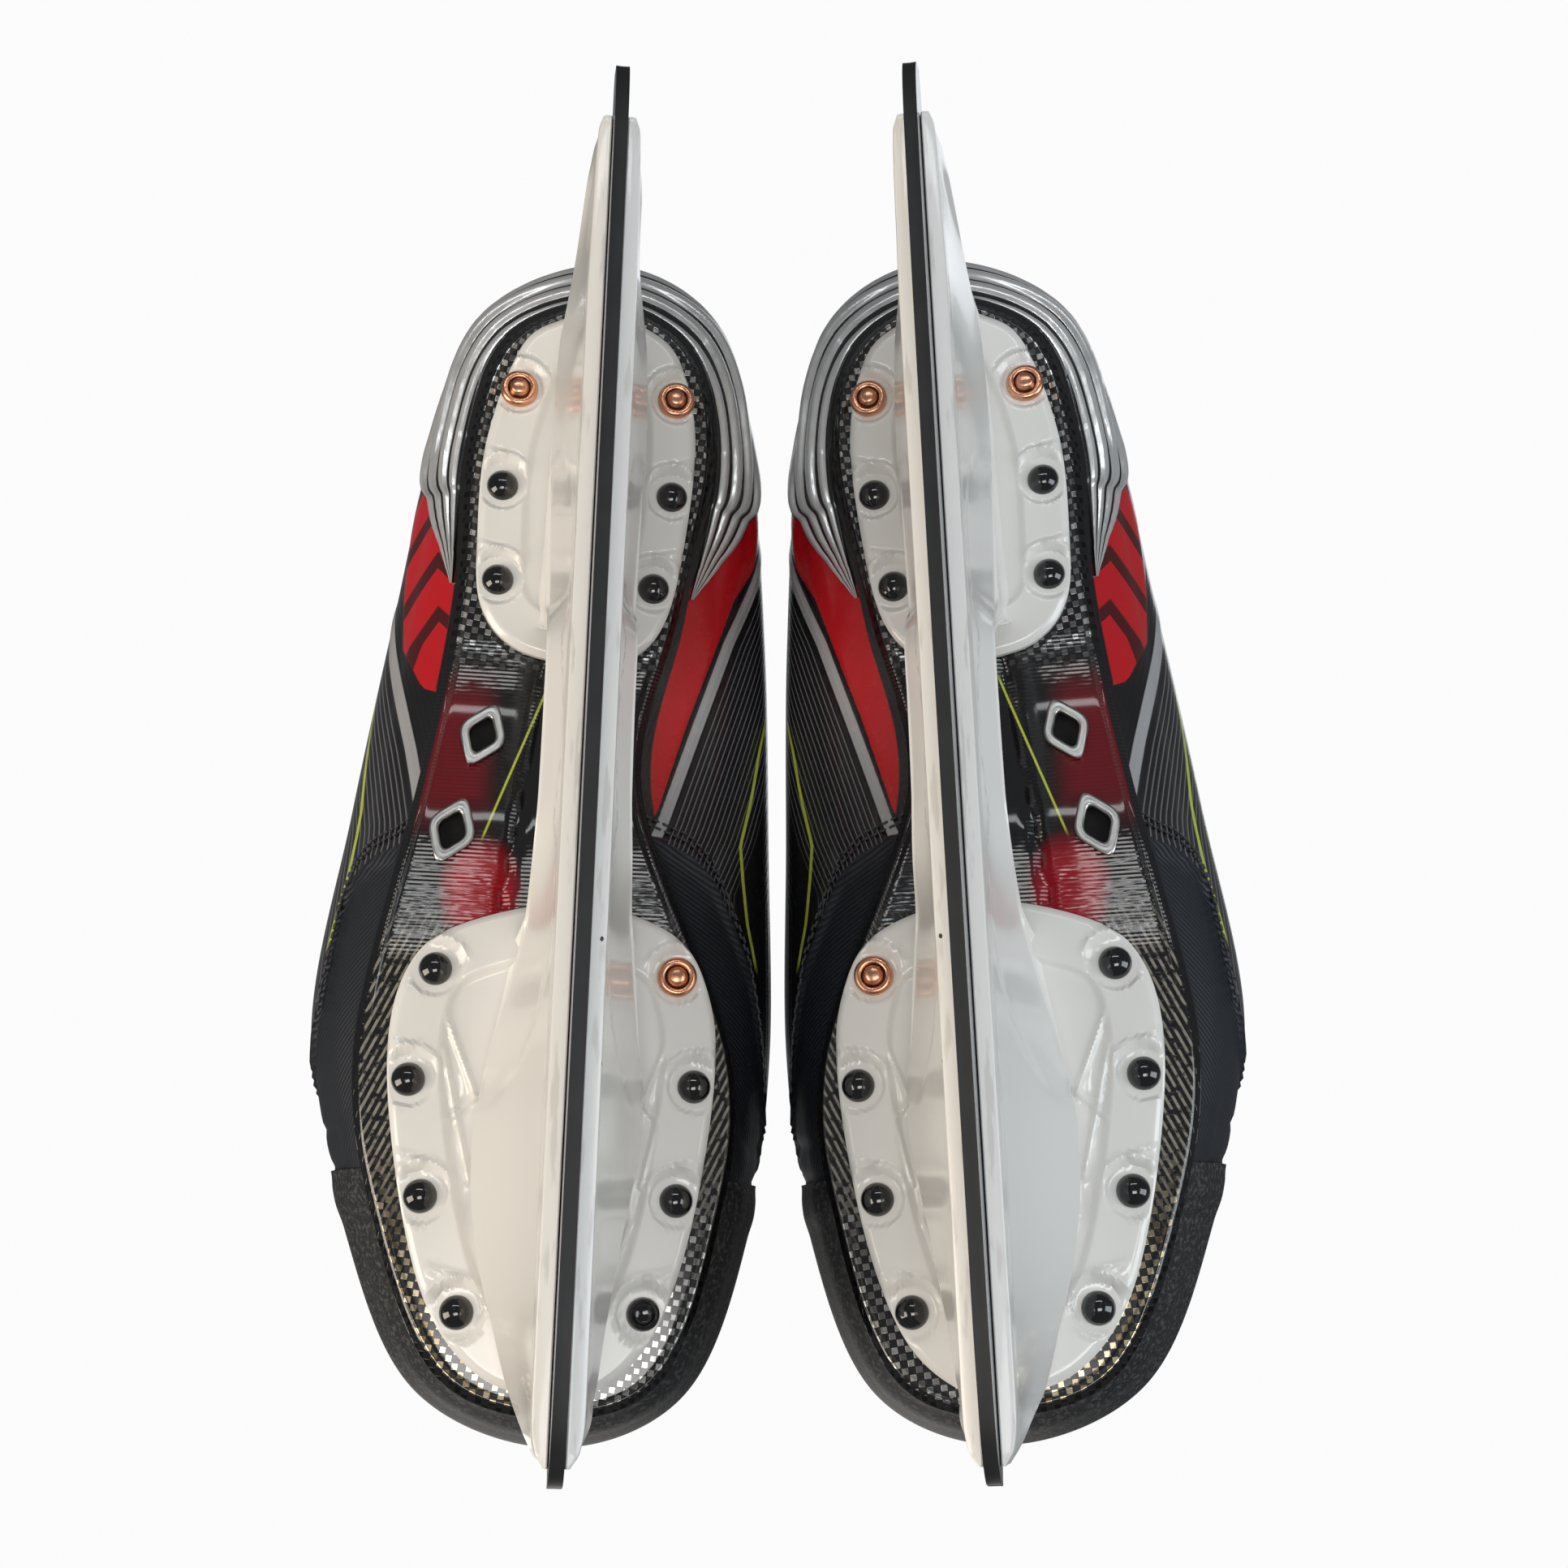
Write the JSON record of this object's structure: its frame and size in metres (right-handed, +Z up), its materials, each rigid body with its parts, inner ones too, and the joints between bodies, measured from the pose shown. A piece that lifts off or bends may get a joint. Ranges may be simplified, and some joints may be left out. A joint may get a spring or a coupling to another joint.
{
  "type": "ice hockey skates",
  "caption": "Pair of ice hockey skates: moulded boots riveted to white twin-tower blade holders with quick-release steel runners.",
  "frame": {"origin": "bottom centre of the pair, between the two runners, on the surface they stand on", "axes": "+Z up, +Y towards the heels along the runners, +X from the right skate to the left skate"},
  "size_m": [0.2122, 0.2999, 0.265],
  "materials": {
    "steel": "ground bright sides, darker ground bottom edge",
    "holder_plastic": "gloss moulded white plastic with light scuffs",
    "trigger_plastic": "satin moulded red plastic",
    "black_rivet": "gloss black enamelled dome",
    "copper_rivet": "bright copper",
    "carbon_composite": "lacquered carbon weave",
    "vent_metal": "cast silver metal",
    "quarter": "moulded quarter, black with red and silver printed panels",
    "toe_cap": "scuffed matte black",
    "heel_counter": "silver moulded counter with flutes",
    "lining": "brushed knit lining",
    "tongue_felt": "thick pressed felt",
    "guard": "flexible moulded guard",
    "lace": "waxed flat woven lace"
  },
  "bodies": {
    "left_skate": {"left_holder": "holder_plastic", "left_trigger_pin": "steel", "left_outsole": "carbon_composite", "left_vent_rear": "vent_metal", "left_vent_front": "vent_metal", "left_boot_shell": "quarter", "left_toe_cap": "toe_cap", "left_heel_counter": "heel_counter", "left_liner": "lining", "left_footbed": "lining", "left_tongue": "tongue_felt", "left_lace": "lace", "left_front_rivet_outer_1": "black_rivet", "left_front_rivet_outer_2": "black_rivet", "left_front_rivet_outer_3": "black_rivet", "left_front_rivet_outer_4": "black_rivet", "left_front_rivet_inner_1": "copper_rivet", "left_front_rivet_inner_2": "black_rivet", "left_front_rivet_inner_3": "black_rivet", "left_front_rivet_inner_4": "black_rivet", "left_heel_rivet_outer_1": "copper_rivet", "left_heel_rivet_outer_2": "black_rivet", "left_heel_rivet_outer_3": "black_rivet", "left_heel_rivet_inner_1": "copper_rivet", "left_heel_rivet_inner_2": "black_rivet", "left_heel_rivet_inner_3": "black_rivet"},
    "left_runner": {"left_runner": "steel"},
    "left_trigger": {"left_trigger": "trigger_plastic"},
    "left_tongue_flap": {"left_tongue_flap": "tongue_felt"},
    "left_tendon_guard": {"left_tendon_guard": "guard"},
    "right_skate": {"right_holder": "holder_plastic", "right_trigger_pin": "steel", "right_outsole": "carbon_composite", "right_vent_rear": "vent_metal", "right_vent_front": "vent_metal", "right_boot_shell": "quarter", "right_toe_cap": "toe_cap", "right_heel_counter": "heel_counter", "right_liner": "lining", "right_footbed": "lining", "right_tongue": "tongue_felt", "right_lace": "lace", "right_front_rivet_outer_1": "black_rivet", "right_front_rivet_outer_2": "black_rivet", "right_front_rivet_outer_3": "black_rivet", "right_front_rivet_outer_4": "black_rivet", "right_front_rivet_inner_1": "copper_rivet", "right_front_rivet_inner_2": "black_rivet", "right_front_rivet_inner_3": "black_rivet", "right_front_rivet_inner_4": "black_rivet", "right_heel_rivet_outer_1": "copper_rivet", "right_heel_rivet_outer_2": "black_rivet", "right_heel_rivet_outer_3": "black_rivet", "right_heel_rivet_inner_1": "copper_rivet", "right_heel_rivet_inner_2": "black_rivet", "right_heel_rivet_inner_3": "black_rivet"},
    "right_runner": {"right_runner": "steel"},
    "right_trigger": {"right_trigger": "trigger_plastic"},
    "right_tongue_flap": {"right_tongue_flap": "tongue_felt"},
    "right_tendon_guard": {"right_tendon_guard": "guard"}
  },
  "joints": [
    {"name": "left_runner_release", "type": "slide", "parent": "left_skate", "child": "left_runner", "axis": [-0.1425, -0.005, -0.9898], "range_m": [0, 0.032]},
    {"name": "left_trigger_pull", "type": "hinge", "parent": "left_skate", "child": "left_trigger", "pos_m": [0.04064, 0.05523, 0.05267], "axis": [-0.9892, -0.0345, 0.1426], "range_deg": [0, 10], "stiffness_Nm_per_rad": 0.4, "springref_deg": -5.73},
    {"name": "left_tongue_fold", "type": "hinge", "parent": "left_skate", "child": "left_tongue_flap", "pos_m": [0.06316, 0.034, 0.20371], "axis": [0.9892, 0.0345, -0.1426], "range_deg": [-5, 60], "stiffness_Nm_per_rad": 0.08},
    {"name": "left_tendon_guard_flex", "type": "hinge", "parent": "left_skate", "child": "left_tendon_guard", "pos_m": [0.06048, 0.12246, 0.20658], "axis": [-0.9892, -0.0345, 0.1426], "range_deg": [0, 18], "stiffness_Nm_per_rad": 2},
    {"name": "right_runner_release", "type": "slide", "parent": "right_skate", "child": "right_runner", "axis": [0.1425, -0.005, -0.9898], "range_m": [0, 0.032]},
    {"name": "right_trigger_pull", "type": "hinge", "parent": "right_skate", "child": "right_trigger", "pos_m": [-0.04064, 0.05523, 0.05267], "axis": [-0.9892, 0.0345, -0.1426], "range_deg": [0, 10], "stiffness_Nm_per_rad": 0.4, "springref_deg": -5.73},
    {"name": "right_tongue_fold", "type": "hinge", "parent": "right_skate", "child": "right_tongue_flap", "pos_m": [-0.06316, 0.034, 0.20371], "axis": [0.9892, -0.0345, 0.1426], "range_deg": [-5, 60], "stiffness_Nm_per_rad": 0.08},
    {"name": "right_tendon_guard_flex", "type": "hinge", "parent": "right_skate", "child": "right_tendon_guard", "pos_m": [-0.06048, 0.12246, 0.20658], "axis": [-0.9892, 0.0345, -0.1426], "range_deg": [0, 18], "stiffness_Nm_per_rad": 2},
    {"name": "pair_apart", "type": "slide", "parent": "left_skate", "child": "right_skate", "axis": [-1, 0, 0], "range_m": [0, 0.15]}
  ]
}
